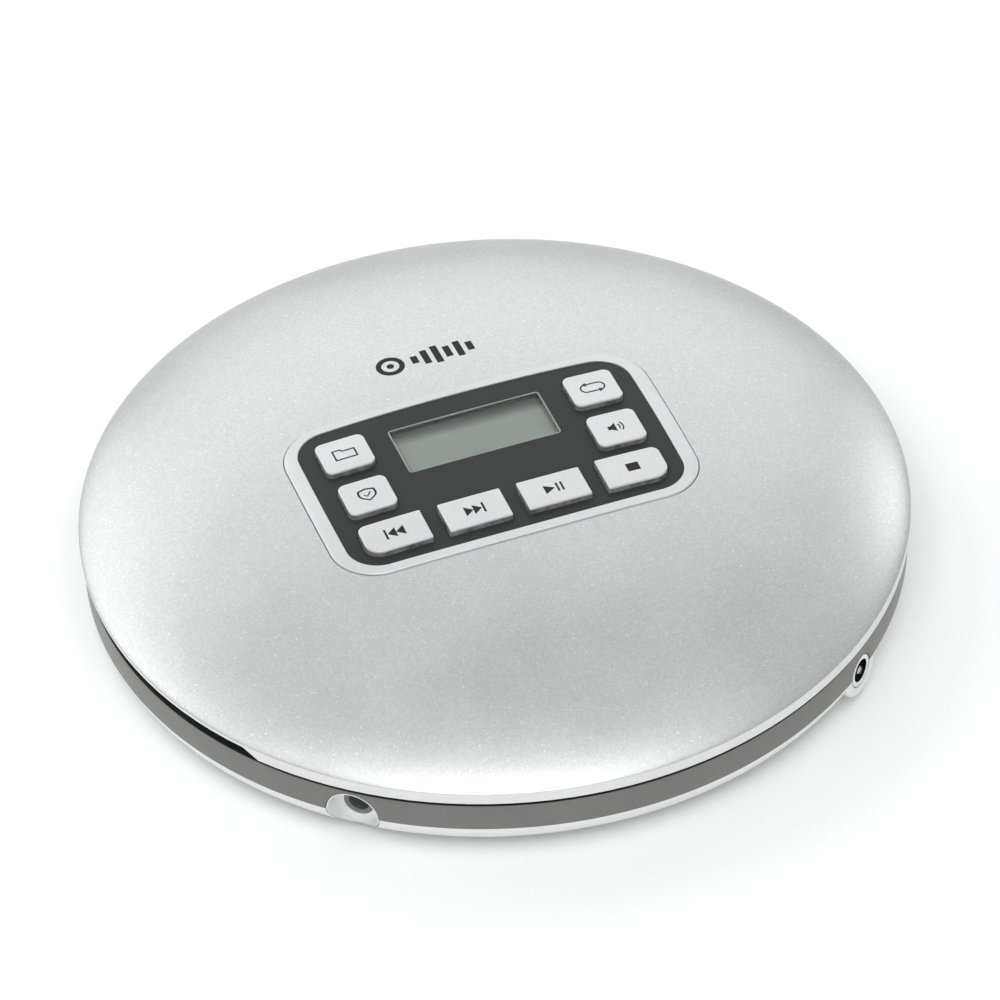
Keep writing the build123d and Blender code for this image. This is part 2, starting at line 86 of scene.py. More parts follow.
# Corner radii from the front left corner round to the rear left one.
KEY_CORNERS = {
    "key_folder": (1.3, 1.3, 1.3, 1.3),
    "key_antishock": (1.3, 1.3, 1.3, 1.3),
    "key_mode": (1.3, 1.3, 1.3, 1.3),
    "key_sound": (1.3, 1.3, 1.3, 1.3),
    "key_previous": (2.8, 0.25, 0.25, 1.4),
    "key_next": (0.25, 0.25, 0.25, 0.25),
    "key_play": (0.25, 0.25, 0.25, 0.25),
    "key_stop": (0.25, 2.8, 1.4, 0.25),
}


def crown(x, y, raised=0.0):
    share = max(0.0, 1.0 - (math.hypot(x, y) / LID_R) ** CROWN_POWER)
    return STRIP_TOP + CROWN_RISE * share**0.8 + raised


def spot(radius, degrees):
    turn = math.radians(degrees)
    return radius * math.sin(turn), -radius * math.cos(turn)


# ---- Mesh tools ----

def finish_mesh(mesh, sharp=35.0):
    mesh.shade_smooth()
    mesh.set_sharp_from_angle(angle=math.radians(sharp))


def piece(name, points, faces, sharp=35.0):
    # One object from points in millimetres, with outward normals and crisp edges.
    mesh = bpy.data.meshes.new(name)
    mesh.from_pydata([(x * MM, y * MM, z * MM) for x, y, z in points], [], faces)
    work = bmesh.new()
    work.from_mesh(mesh)
    bmesh.ops.remove_doubles(work, verts=work.verts, dist=1e-7)
    bmesh.ops.dissolve_degenerate(work, edges=work.edges, dist=1e-7)
    bmesh.ops.recalc_face_normals(work, faces=work.faces)
    work.to_mesh(mesh)
    work.free()
    finish_mesh(mesh, sharp)
    made = bpy.data.objects.new(name, mesh)
    bpy.context.scene.collection.objects.link(made)
    return made


def loft(name, rings, closed=False, sharp=35.0):
    # Quads between neighbouring rings of the same count. A closed loft joins its last ring to its first, and
    # an open one is capped at both ends.
    count = len(rings[0])
    points = [point for ring in rings for point in ring]
    faces = []
    spans = len(rings) if closed else len(rings) - 1
    for i in range(spans):
        a = i * count
        b = ((i + 1) % len(rings)) * count
        for j in range(count):
            k = (j + 1) % count
            faces.append((a + j, a + k, b + k, b + j))
    if not closed:
        faces.append(tuple(range(count)))
        faces.append(tuple(range((len(rings) - 1) * count, len(rings) * count)))
    return piece(name, points, faces, sharp)


def circle(radius, z, count=SEGMENTS, centre=(0.0, 0.0)):
    turns = [2 * math.pi * i / count for i in range(count)]
    return [(centre[0] + radius * math.cos(t), centre[1] + radius * math.sin(t), z) for t in turns]


def lathe(name, profile, centre=(0.0, 0.0), count=SEGMENTS, closed=True):
    # A body turned about a vertical axis from (radius, height) points.
    return loft(name, [circle(r, z, count, centre) for r, z in profile], closed=closed)


def softened(points, radius, steps=4):
    # A closed outline with every corner rounded by up to `radius`.
    result = []
    count = len(points)
    for i in range(count):
        corner = Vector(points[i])
        before = Vector(points[i - 1]) - corner
        after = Vector(points[(i + 1) % count]) - corner
        reach = min(radius, before.length * 0.45, after.length * 0.45)
        start = corner + before.normalized() * reach
        end = corner + after.normalized() * reach
        for step in range(steps + 1):
            t = step / steps
            blend = start * (1 - t) ** 2 + corner * 2 * t * (1 - t) + end * t**2
            result.append(tuple(blend))
    return result


def arc_points(centre, radius, start, end, steps):
    turns = [math.radians(start + (end - start) * i / steps) for i in range(steps + 1)]
    return [(centre[0] + radius * math.cos(t), centre[1] + radius * math.sin(t)) for t in turns]


def rounded_box(x0, x1, y0, y1, radii, steps=7):
    # Counter-clockwise outline; the radii run from the front left corner round to the rear left one.
    outline = []
    for (x, y), radius, start in zip([(x0, y0), (x1, y0), (x1, y1), (x0, y1)], radii, (180, 270, 0, 90)):
        centre = (x + math.copysign(radius, x1 + x0 - 2 * x), y + math.copysign(radius, y1 + y0 - 2 * y))
        outline += arc_points(centre, radius, start, start + 90, steps)
    return divided(outline, 1.2)


def divided(outline, longest):
    # Long straight edges get more points.
    result = []
    for i, (x, y) in enumerate(outline):
        nx, ny = outline[(i + 1) % len(outline)]
        parts = max(1, math.ceil(math.hypot(nx - x, ny - y) / longest))
        result += [(x + (nx - x) * s / parts, y + (ny - y) * s / parts) for s in range(parts)]
    return result


def bowed_box(half_x, y0, y1, corner):
    # The panel's outline: a rounded box whose sides bow outwards a little.
    outline = rounded_box(-half_x, half_x, y0, y1, (corner,) * 4, 14)
    mid_y = (y0 + y1) / 2
    half_y = (y1 - y0) / 2
    bowed = []
    for x, y in outline:
        u = x / half_x
        v = (y - mid_y) / half_y
        pulled_x = math.copysign(0.25, x) * v * v * abs(u)
        pulled_y = math.copysign(0.6, v) * u * u * abs(v)
        bowed.append((x - pulled_x, y - pulled_y))
    return bowed


def inset(outline, distance):
    # The outline moved inwards along its own normals.
    moved = []
    count = len(outline)
    for i in range(count):
        ax, ay = outline[i - 1]
        bx, by = outline[(i + 1) % count]
        length = math.hypot(bx - ax, by - ay) or 1.0
        nx, ny = -(by - ay) / length, (bx - ax) / length
        moved.append((outline[i][0] + nx * distance, outline[i][1] + ny * distance))
    return moved


def shrunk(outline, share):
    cx = sum(x for x, _ in outline) / len(outline)
    cy = sum(y for _, y in outline) / len(outline)
    return [(cx + (x - cx) * share, cy + (y - cy) * share) for x, y in outline]


def on_crown(outline, raised):
    return [(x, y, crown(x, y, raised)) for x, y in outline]


def blended(first, second, share):
    # An outline part of the way from the first to the second, point by point.
    return [(ax + (bx - ax) * share, ay + (by - ay) * share) for (ax, ay), (bx, by) in zip(first, second)]


def at_height(outline, z):
    return [(x, y, z) for x, y in outline]


def inside(point, outline):
    x, y = point
    hit = False
    for i in range(len(outline)):
        ax, ay = outline[i - 1]
        bx, by = outline[i]
        if (ay > y) != (by > y) and x < (bx - ax) * (y - ay) / (by - ay) + ax:
            hit = not hit
    return hit


def plate(name, outline, holes, top, thickness, grid=1.5):
    # A plate with holes: its upper face follows top(x, y), and walls go straight down.
    points = [Vector(p) for p in outline]
    edges = [(i, (i + 1) % len(outline)) for i in range(len(outline))]
    for hole in holes:
        start = len(points)
        points += [Vector(p) for p in hole]
        edges += [(start + i, start + (i + 1) % len(hole)) for i in range(len(hole))]
    if grid:
        xs = [p[0] for p in outline]
        ys = [p[1] for p in outline]
        margin = inset(outline, grid * 0.6)
        for i in range(int((max(xs) - min(xs)) / grid)):
            for j in range(int((max(ys) - min(ys)) / grid)):
                spot_xy = (min(xs) + (i + 0.5) * grid, min(ys) + (j + 0.5) * grid)
                if inside(spot_xy, margin) and not any(inside(spot_xy, inset(h, -0.5)) for h in holes):
                    points.append(Vector(spot_xy))
    verts, _, tris, _, _, _ = delaunay_2d_cdt(points, edges, [], 0, 1e-6)
    kept = []
    for tri in tris:
        cx = sum(verts[i].x for i in tri) / 3
        cy = sum(verts[i].y for i in tri) / 3
        if inside((cx, cy), outline) and not any(inside((cx, cy), hole) for hole in holes):
            kept.append(tuple(tri))
    count = len(verts)
    upper = [(v.x, v.y, top(v.x, v.y)) for v in verts]
    lower = [(x, y, z - thickness) for x, y, z in upper]
    faces = list(kept) + [tuple(i + count for i in reversed(tri)) for tri in kept]
    uses = {}
    for tri in kept:
        for a, b in zip(tri, tri[1:] + tri[:1]):
            uses[frozenset((a, b))] = None if frozenset((a, b)) in uses else (a, b)
    for pair in uses.values():
        if pair:
            a, b = pair
            faces.append((b, a, a + count, b + count))
    return piece(name, upper + lower, faces)


def side_frame(degrees, height):
    # A frame on the case's axis: local Z points out through the side, local Y up.
    out = Vector((*spot(1.0, degrees), 0))
    up = Vector((0, 0, 1))
    along = up.cross(out)
    turn = Matrix((along, up, out)).transposed().to_4x4()
    return Matrix.Translation(Vector((0, 0, height)) * MM) @ turn


def side_lathe(name, degrees, height, profile):
    # A solid body turned about an axis that points straight out of the side, at one height. The profile's own
    # heights count outwards from the case's axis.
    made = lathe(name, profile, count=96, closed=False)
    made.data.transform(side_frame(degrees, height))
    made.data.update()
    return made


def cut(target, cutter, operation="DIFFERENCE"):
    # Carves a helper mesh out of the target, or joins it on, and removes the helper.
    step = target.modifiers.new("carve", "BOOLEAN")
    step.operation = operation
    step.solver = "EXACT"
    step.object = cutter
    depsgraph = bpy.context.evaluated_depsgraph_get()
    carved = bpy.data.meshes.new_from_object(target.evaluated_get(depsgraph))
    target.modifiers.clear()
    target.data = carved
    finish_mesh(target.data)
    bpy.data.objects.remove(cutter)


def cutter_block(x0, x1, y0, y1, z0, z1):
    outline = [(x0, y0), (x1, y0), (x1, y1), (x0, y1)]
    return loft("carving_block", [at_height(outline, z0), at_height(outline, z1)])


def joined(name, parts):
    # Several helper objects become one piece.
    work = bmesh.new()
    for part in parts:
        work.from_mesh(part.data)
        bpy.data.objects.remove(part)
    mesh = bpy.data.meshes.new(name)
    work.to_mesh(mesh)
    work.free()
    finish_mesh(mesh)
    made = bpy.data.objects.new(name, mesh)
    bpy.context.scene.collection.objects.link(made)
    return made


# ---- Materials ----

def grey(value):
    return (value, value, value, 1.0)


def new_material(name):
    made = bpy.data.materials.new(name)
    made.use_nodes = True
    tree = made.node_tree
    shader = tree.nodes["Principled BSDF"]
    place = tree.nodes.new("ShaderNodeTexCoord")
    return made, tree, shader, place.outputs["Object"]


def noise(tree, place, scale, detail=3.0):
    node = tree.nodes.new("ShaderNodeTexNoise")
    node.inputs["Scale"].default_value = scale
    node.inputs["Detail"].default_value = detail
    node.inputs["Roughness"].default_value = 0.55
    tree.links.new(place, node.inputs["Vector"])
    return node.outputs["Fac"]


def ranged(tree, source, low, high, from_low=0.3, from_high=0.7):
    node = tree.nodes.new("ShaderNodeMapRange")
    node.inputs["From Min"].default_value = from_low
    node.inputs["From Max"].default_value = from_high
    node.inputs["To Min"].default_value = low
    node.inputs["To Max"].default_value = high
    tree.links.new(source, node.inputs["Value"])
    return node.outputs["Result"]


def mixed(tree, factor, first, second, blend="MIX"):
    node = tree.nodes.new("ShaderNodeMix")
    node.data_type = "RGBA"
    node.blend_type = blend
    sockets = [s for s in node.inputs if s.type == "RGBA"]
    for socket, value in zip(sockets, (first, second)):
        if isinstance(value, tuple):
            socket.default_value = value
        else:
            tree.links.new(value, socket)
    factor_socket = node.inputs[0]
    if isinstance(factor, float):
        factor_socket.default_value = factor
    else:
        tree.links.new(factor, factor_socket)
    return [s for s in node.outputs if s.type == "RGBA"][0]


def toned(tree, colour, tone):
    # The colour made lighter or darker by a tone near 1.
    shade = tree.nodes.new("ShaderNodeCombineColor")
    for channel in ("Red", "Green", "Blue"):
        tree.links.new(tone, shade.inputs[channel])
    return mixed(tree, 1.0, colour, shade.outputs["Color"], "MULTIPLY")


def bumped(tree, shader, height, strength, distance):
    node = tree.nodes.new("ShaderNodeBump")
    node.inputs["Strength"].default_value = strength
    node.inputs["Distance"].default_value = distance
    tree.links.new(height, node.inputs["Height"])
    tree.links.new(node.outputs["Normal"], shader.inputs["Normal"])


def surface(name, dark, light, rough, metallic=0.0, grain=3000.0, bump=0.15, depth=0.00002, patch=120.0,
            painted_shade_above=None, **fixed):
    # A moulded, painted or metal surface: patchy colour and gloss under a fine grain. A piece can turn
    # near-black above a height in millimetres: painted shade for a gap that lies in shadow.
    made, tree, shader, place = new_material(name)
    broad = noise(tree, place, patch)
    fine = noise(tree, place, grain, 2.0)
    colour = mixed(tree, ranged(tree, broad, 0.0, 1.0), dark, light)
    colour = toned(tree, colour, ranged(tree, fine, 0.94, 1.03))
    # Painted shade: above the given height the colour goes near-black, standing in for shadow.
    if painted_shade_above:
        axes = tree.nodes.new("ShaderNodeSeparateXYZ")
        tree.links.new(place, axes.inputs["Vector"])
        height = ranged(tree, axes.outputs["Z"], 0.0, 1.0, painted_shade_above * MM, (painted_shade_above + 0.06) * MM)
        colour = mixed(tree, height, colour, grey(0.006))
    tree.links.new(colour, shader.inputs["Base Color"])
    tree.links.new(ranged(tree, broad, rough[0], rough[1]), shader.inputs["Roughness"])
    shader.inputs["Metallic"].default_value = metallic
    for socket, value in fixed.items():
        shader.inputs[socket.replace("_", " ")].default_value = value
    bumped(tree, shader, fine, bump, depth)
    return made


def flake_paint(name):
    # Silver metallic lacquer: tiny flakes, each tilted and toned its own way, under a satin coat.
    made, tree, shader, place = new_material(name)
    cells = tree.nodes.new("ShaderNodeTexVoronoi")
    cells.inputs["Scale"].default_value = 4000.0
    tree.links.new(place, cells.inputs["Vector"])
    split = tree.nodes.new("ShaderNodeSeparateColor")
    tree.links.new(cells.outputs["Color"], split.inputs["Color"])
    broad = noise(tree, place, 45.0)
    base = mixed(tree, ranged(tree, broad, 0.0, 1.0), (0.60, 0.61, 0.61, 1), (0.64, 0.65, 0.645, 1))
    colour = toned(tree, base, ranged(tree, split.outputs["Red"], 0.91, 1.06, 0.0, 1.0))
    # Painted glints: a rare few flakes get a near-white colour that stands in for their sparkle.
    painted_sparkle = ranged(tree, split.outputs["Green"], 0.0, 0.60, 0.985, 0.998)
    colour = mixed(tree, painted_sparkle, colour, (0.95, 0.96, 0.96, 1))
    tree.links.new(colour, shader.inputs["Base Color"])
    shader.inputs["Metallic"].default_value = 0.80
    tree.links.new(ranged(tree, broad, 0.36, 0.41), shader.inputs["Roughness"])
    shader.inputs["Specular Tint"].default_value = (0.70, 0.70, 0.70, 1)
    shader.inputs["Coat Weight"].default_value = 0.12
    shader.inputs["Coat Roughness"].default_value = 0.22
    height = tree.nodes.new("ShaderNodeMath")
    height.operation = "MULTIPLY"
    tree.links.new(split.outputs["Blue"], height.inputs[0])
    tree.links.new(cells.outputs["Distance"], height.inputs[1])
    bumped(tree, shader, height.outputs["Value"], 0.19, 0.00005)
    return made


def clear_window(name):
    made, tree, shader, place = new_material(name)
    haze = noise(tree, place, 900.0)
    shader.inputs["Base Color"].default_value = (0.93, 0.96, 0.94, 1)
    tree.links.new(ranged(tree, haze, 0.02, 0.06), shader.inputs["Roughness"])
    shader.inputs["Transmission Weight"].default_value = 1.0
    shader.inputs["IOR"].default_value = 1.2
    return made


def display_face(name):
    # A resting liquid crystal display: a grey-green film, with painted shade under the window's rear and left
    # edges.
    made, tree, shader, place = new_material(name)
    film = noise(tree, place, 5200.0, 2.0)
    broad = noise(tree, place, 90.0)
    colour = mixed(tree, ranged(tree, broad, 0.0, 1.0), (0.300, 0.318, 0.298, 1), (0.322, 0.342, 0.320, 1))
    colour = mixed(tree, ranged(tree, film, 0.0, 0.10), colour, (0.22, 0.25, 0.22, 1))
    axes = tree.nodes.new("ShaderNodeSeparateXYZ")
    tree.links.new(place, axes.inputs["Vector"])
    low, high = node_box("lcd_window")
    rear = (high[1] - WINDOW_LIP_Y) * MM
    left = (low[0] + WINDOW_LIP_X) * MM
    # Painted shade: the film darkens towards the window's rear and left lips, where their shadow falls.
    rear_shade = ranged(tree, axes.outputs["Y"], 0.0, 0.75, rear - 3.3 * MM, rear - 1.9 * MM)
    left_shade = ranged(tree, axes.outputs["X"], 0.6, 0.0, left, left + 1.3 * MM)
    colour = mixed(tree, rear_shade, colour, (0.12, 0.125, 0.125, 1))
    colour = mixed(tree, left_shade, colour, (0.13, 0.135, 0.135, 1))
    tree.links.new(colour, shader.inputs["Base Color"])
    tree.links.new(ranged(tree, film, 0.30, 0.36), shader.inputs["Roughness"])
    shader.inputs["Specular IOR Level"].default_value = 0.35
    bumped(tree, shader, film, 0.05, 0.00001)
    return made


def board_finish(name):
    # Green solder mask over copper tracks.
    made, tree, shader, place = new_material(name)
    tracks = tree.nodes.new("ShaderNodeTexBrick")
    tracks.inputs["Scale"].default_value = 220.0
    tracks.inputs["Mortar Size"].default_value = 0.06
    tracks.inputs["Color1"].default_value = (0.012, 0.10, 0.035, 1)
    tracks.inputs["Color2"].default_value = (0.014, 0.12, 0.045, 1)
    tracks.inputs["Mortar"].default_value = (0.03, 0.20, 0.07, 1)
    tree.links.new(place, tracks.inputs["Vector"])
    tree.links.new(tracks.outputs["Color"], shader.inputs["Base Color"])
    film = noise(tree, place, 1500.0)
    tree.links.new(ranged(tree, film, 0.25, 0.4), shader.inputs["Roughness"])
    bumped(tree, shader, tracks.outputs["Fac"], 0.2, 0.00003)
    return made


PAINT = flake_paint("lid_silver_lacquer")
STRIP = surface("lid_edge_grey", grey(0.74), grey(0.78), (0.34, 0.42), metallic=0.10, bump=0.06)
BASE = surface("base_silver_white", (0.80, 0.81, 0.81, 1), (0.85, 0.86, 0.855, 1), (0.34, 0.42),
               metallic=0.20, bump=0.08)
# The band turns near-black from the groove's lower edge up: painted shade for the shadowed gap under the lid.
BAND = surface("band_grey", (0.155, 0.155, 0.150, 1), (0.175, 0.174, 0.168, 1), (0.34, 0.44), bump=0.10,
               grain=2600.0, painted_shade_above=BAND_TOP - GAP_HEIGHT - 0.06)
BEZEL = surface("bezel_silver", (0.62, 0.63, 0.63, 1), (0.66, 0.67, 0.67, 1), (0.38, 0.44), metallic=0.40,
                bump=0.04)
PANEL = surface("panel_charcoal", (0.022, 0.0235, 0.0225, 1), (0.026, 0.0275, 0.0265, 1), (0.40, 0.48),
                bump=0.10, grain=4200.0, Specular_IOR_Level=0.25)
KEY_TOP = surface("key_silver", (0.61, 0.62, 0.62, 1), (0.66, 0.67, 0.67, 1), (0.30, 0.38), metallic=0.30,
                  bump=0.06, grain=3600.0)
# The skirt's broad patches, from near-black to mid grey, are painted glints on the smoky plastic.
KEY_SKIRT = surface("key_smoke_skirt", grey(0.07), grey(0.26), (0.10, 0.18), bump=0.05, patch=520.0,
                    Coat_Weight=0.8, Coat_Roughness=0.05)
MARK = surface("mark_print_grey", grey(0.014), grey(0.020), (0.48, 0.58), bump=0.08, Specular_IOR_Level=0.2)
WINDOW = clear_window("window_clear_plastic")
WINDOW_RIM = surface("window_border_grey", grey(0.22), grey(0.27), (0.20, 0.28), bump=0.05)
SOCKET_GREY = surface("socket_grey_plastic", grey(0.15), grey(0.19), (0.34, 0.44), bump=0.10)
DISPLAY = display_face("display_film")
CHROME = surface("socket_chrome", grey(0.78), grey(0.86), (0.06, 0.14), metallic=1.0, bump=0.03)
BLACK = surface("black_plastic", grey(0.012), grey(0.018), (0.38, 0.50), bump=0.12)
DECK = surface("deck_charcoal_moulded", grey(0.040), grey(0.050), (0.50, 0.62), bump=0.30, depth=0.00004,
               grain=2400.0)
STEEL = surface("drive_steel", grey(0.50), grey(0.60), (0.22, 0.34), metallic=1.0, bump=0.08)
PLATED = surface("drive_zinc_plate", (0.50, 0.50, 0.47, 1), (0.60, 0.59, 0.55, 1), (0.30, 0.44), metallic=1.0,
                 bump=0.12)
BLACK_STEEL = surface("screw_black_zinc", grey(0.06), grey(0.09), (0.30, 0.42), metallic=0.9, bump=0.08)
BRASS = surface("lead_screw_brass", (0.60, 0.44, 0.20, 1), (0.70, 0.53, 0.26, 1), (0.22, 0.34), metallic=1.0,
                bump=0.06)
RUBBER = surface("foot_rubber", grey(0.020), grey(0.030), (0.75, 0.88), bump=0.35, depth=0.00004)
SILICONE = surface("keypad_silicone", grey(0.30), grey(0.36), (0.55, 0.68), bump=0.12)
BOARD = board_finish("board_green_mask")
CHIP = surface("chip_epoxy", grey(0.018), grey(0.028), (0.50, 0.62), bump=0.25)
WRAP = surface("battery_sleeve", (0.02, 0.07, 0.20, 1), (0.03, 0.09, 0.24, 1), (0.22, 0.34), bump=0.06)
LENS = surface("lens_coated_glass", (0.10, 0.16, 0.42, 1), (0.16, 0.24, 0.55, 1), (0.02, 0.05), bump=0.01,
               Coat_Weight=1.0)
WHITE = surface("plunger_white", grey(0.70), grey(0.76), (0.40, 0.50), bump=0.10)


def dress(obj, material):
    obj.data.materials.clear()
    obj.data.materials.append(material)


def place_piece(obj, body, material, slot, *nodes):
    # Gives a piece its finish and the body it moves with, and hides the CAD nodes it stands for. The slot
    # argument is not used.
    dress(obj, material)
    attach(obj, body)
    if nodes:
        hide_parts(*nodes)
    return obj


# ---- Lid ----

PANEL_OUT = bowed_box(29.9, -17.1, 18.9, 5.6)
BEZEL_OUT = bowed_box(32.5, -19.0, 20.4, 8.0)


def build_lid_shell():
    # The lacquered dome, from the panel's opening out to the edge strip, as one closed skin.
    aperture = inset(BEZEL_OUT, -0.12)
    rim = []
    for x, y in aperture:
        length = math.hypot(x, y)
        rim.append((LID_R * x / length, LID_R * y / length))

    # The shares bunch the rings towards the rim, where the dome curves most.
    shares = [1 - (1 - i / 60) ** 2.2 for i in range(60)]
    rings = [on_crown(aperture, -0.10)]
    rings += [on_crown(blended(aperture, rim, s + 0.0012 * (1 - s)), 0.0) for s in shares]
    rings.append([(x, y, STRIP_TOP + 0.06) for x, y in rim])
    rings.append([(x * 0.9985, y * 0.9985, STRIP_TOP) for x, y in rim])
    rings.append([(x * 0.974, y * 0.974, STRIP_TOP) for x, y in rim])
    for share in (0.93, 0.8, 0.6, 0.4, 0.2, 0.0):
        rings.append([(x, y, max(STRIP_TOP, crown(x, y, -1.3))) for x, y in blended(aperture, rim, share)])
    made = loft("lid_dome", rings, closed=True, sharp=30.0)
    return place_piece(made, "lid", PAINT, "lid_paint", "lid_shell")


def build_bezel():
    # The silver surround: a flat ring with a small bevel outside and a finer one down to the panel.
    steps = [(0.0, -0.16), (0.03, -0.05), (0.07, 0.0), (0.5, 0.0), (0.95, -0.02), (0.985, -0.08)]
    steps = [(share, BEZEL_RISE + drop) for share, drop in steps]
    steps = [(0.0, -2.2)] + steps + [(1.0, 0.0), (1.0, -2.2)]
    rings = [on_crown(blended(BEZEL_OUT, PANEL_OUT, share), raised) for share, raised in steps]
    made = loft("panel_surround", rings, closed=True, sharp=28.0)
    return place_piece(made, "lid", BEZEL, "bezel_silver", "panel_bezel")


def key_area(name, grow=0.0):
    low, high = node_box(name)
    radii = [radius + grow for radius in KEY_CORNERS[name]]
    edge = KEY_FLANGE - grow
    return rounded_box(low[0] + edge, high[0] - edge, low[1] + edge, high[1] - edge, radii)


def window_area(grow=0.0):
    low, high = node_box("lcd_window")
    lip_x, lip_y = WINDOW_LIP_X - grow, WINDOW_LIP_Y - grow
    return rounded_box(low[0] + lip_x, high[0] - lip_x, low[1] + lip_y, high[1] - lip_y, (0.7 + grow,) * 4)


def build_panel():
    holes = [key_area(name, 0.25) for name in KEY_CORNERS] + [window_area()]
    made = plate("control_panel", inset(PANEL_OUT, 0.05), holes, crown, 0.9)
    return place_piece(made, "lid", PANEL, "panel_plastic", "panel_plate")


def build_key(name):
    # A silver cap with a crisp chamfer on a smoky skirt that flares towards the panel.
    outline = key_area(name)
    skirt = key_area(name, 0.15)
    flange = key_area(name, KEY_FLANGE - 0.02)
    base = node_box(name)[0][2]
    rings = [at_height(flange, base), at_height(flange, base + 0.5), at_height(skirt, base + 0.5)]
    rings += [on_crown(skirt, 0.10), on_crown(inset(skirt, 0.03), 0.24), on_crown(outline, KEY_RISE - 0.36)]
    rings += [on_crown(outline, KEY_RISE - 0.17), on_crown(inset(outline, 0.05), KEY_RISE - 0.06)]
    rings.append(on_crown(inset(outline, 0.13), KEY_RISE - 0.01))
    cap = inset(outline, 0.20)
    rings += [on_crown(shrunk(cap, share), KEY_RISE) for share in (1.0, 0.94, 0.8, 0.6, 0.4, 0.2, 0.04)]
    made = loft(name + "_cap", rings, sharp=28.0)
    place_piece(made, name, KEY_TOP, "key_plastic", name)
    made.data.materials.append(KEY_SKIRT)
    for face in made.data.polygons:
        x, y, z = [v / MM for v in face.center]
        face.material_index = 1 if z < crown(x, y, KEY_RISE - 0.34) else 0
    return made


def build_window_frame():
    # The window's own raised border, which shows as a thin grey rim inside the panel's opening.
    def rim_top(x, y):
        return crown(x, y, -0.04)

    made = plate("window_border", window_area(-0.02), [window_area(-0.30)], rim_top, 0.24)
    return place_piece(made, "lid", WINDOW_RIM, "window_clear")


# ---- Marks printed on the keys and the lid ----

def print_mark(name, shapes, centre, raised, body, slot):
    # Thin printed shapes, in millimetres about a centre, laid on the crown.
    def ink_top(x, y):
        return crown(x, y, raised + 0.02)

    parts = []
    for number, shape in enumerate(shapes):
        outline, holes = shape if isinstance(shape, tuple) else (shape, [])
        moved, cut_out = shifted((outline, holes), *centre)
        parts.append(plate(f"{name}_{number}", moved, cut_out, ink_top, 0.03, grid=0))
    made = joined(name, parts)
    return place_piece(made, body, MARK, slot)


def bar(x0, x1, y0, y1):
    return divided([(x0, y0), (x1, y0), (x1, y1), (x0, y1)], 0.8)


def triangle(x0, x1, half):
    # An arrowhead with its upright side at x0 and its tip at x1.
    corners = [(x0, -half), (x1, 0.0), (x0, half)]
    if x1 < x0:
        corners.reverse()
    return divided(corners, 0.8)


def ring_shape(radius, width, steps=40):
    outer = arc_points((0, 0), radius, 0, 360, steps)[:-1]
    inner = arc_points((0, 0), radius - width, 0, 360, steps)[:-1]
    return outer, [inner]


def shifted(shape, dx, dy):
    if isinstance(shape, tuple):
        outline, holes = shape
        return shifted(outline, dx, dy), [shifted(hole, dx, dy) for hole in holes]
    return [(x + dx, y + dy) for x, y in shape]


def stroke(points, width):
    # An open line drawn with a flat pen.
    left, right = [], []
    for i, (x, y) in enumerate(points):
        ax, ay = points[max(i - 1, 0)]
        bx, by = points[min(i + 1, len(points) - 1)]
        length = math.hypot(bx - ax, by - ay)
        nx, ny = -(by - ay) / length * width / 2, (bx - ax) / length * width / 2
        left.append((x + nx, y + ny))
        right.append((x - nx, y - ny))
    return right + left[::-1]


def folder_sign():
    outside = [(-2.0, -1.3), (2.0, -1.3), (2.0, 0.9), (-0.1, 0.9), (-0.5, 1.35), (-2.0, 1.35)]
    hollow = [(-1.72, -1.02), (1.72, -1.02), (1.72, 0.62), (-0.25, 0.62), (-0.65, 1.07), (-1.72, 1.07)]
    return [(outside, [hollow])]


def shield_sign():
    flank = arc_points((0.1, 0.35), 1.55, -42, 12, 6)
    outside = [(0.0, -1.6)] + flank + [(1.5, 1.25), (0.0, 1.6), (-1.5, 1.25)]
    outside += [(-x, y) for x, y in reversed(flank)]
    hollow = [(x * 0.78, y * 0.80) for x, y in outside]
    return [(outside, [hollow]), stroke([(-0.6, 0.1), (-0.15, -0.4), (0.65, 0.55)], 0.26)]


def loop_sign():
    upper = stroke(arc_points((1.1, 0.0), 1.0, -60, 90, 12) + [(-1.1, 1.0)], 0.28)
    lower = stroke(arc_points((-1.1, 0.0), 1.0, 120, 270, 12) + [(1.1, -1.0)], 0.28)
    heads = [[(-0.9, 0.5), (-0.9, 1.5), (-1.7, 1.0)], [(0.9, -1.5), (0.9, -0.5), (1.7, -1.0)]]
    return [upper, lower] + heads


def speaker_sign():
    cone = [(-1.5, -0.45), (-0.9, -0.45), (-0.1, -1.1), (-0.1, 1.1), (-0.9, 0.45), (-1.5, 0.45)]
    waves = [stroke(arc_points((-0.3, 0.0), radius, -42, 42, 10), 0.24) for radius in (0.9, 1.5)]
    return [cone] + waves


def skip_sign(direction):
    # Two arrowheads and a bar: towards +X for direction 1, towards -X for -1.
    heads = [triangle(x * direction, (x + 1.5) * direction, 1.15) for x in (-1.75, -0.25)]
    x0, x1 = sorted((1.35 * direction, 1.72 * direction))
    return heads + [bar(x0, x1, -1.2, 1.2)]


def play_sign():
    return [triangle(-1.65, 0.15, 1.05), bar(0.45, 0.80, -1.05, 1.05), bar(1.25, 1.60, -1.05, 1.05)]


def stop_sign():
    return [bar(-1.1, 1.1, -0.95, 0.95)]


KEY_SIGNS = {
    "key_folder": folder_sign(),
    "key_antishock": shield_sign(),
    "key_mode": loop_sign(),
    "key_sound": speaker_sign(),
    "key_previous": skip_sign(-1),
    "key_next": skip_sign(1),
    "key_play": play_sign(),
    "key_stop": stop_sign(),
}


def build_key_sign(name):
    low, high = node_box(name)
    centre = ((low[0] + high[0]) / 2, (low[1] + high[1]) / 2)
    return print_mark(name + "_sign", KEY_SIGNS[name], centre, KEY_RISE, name, "key_plastic")


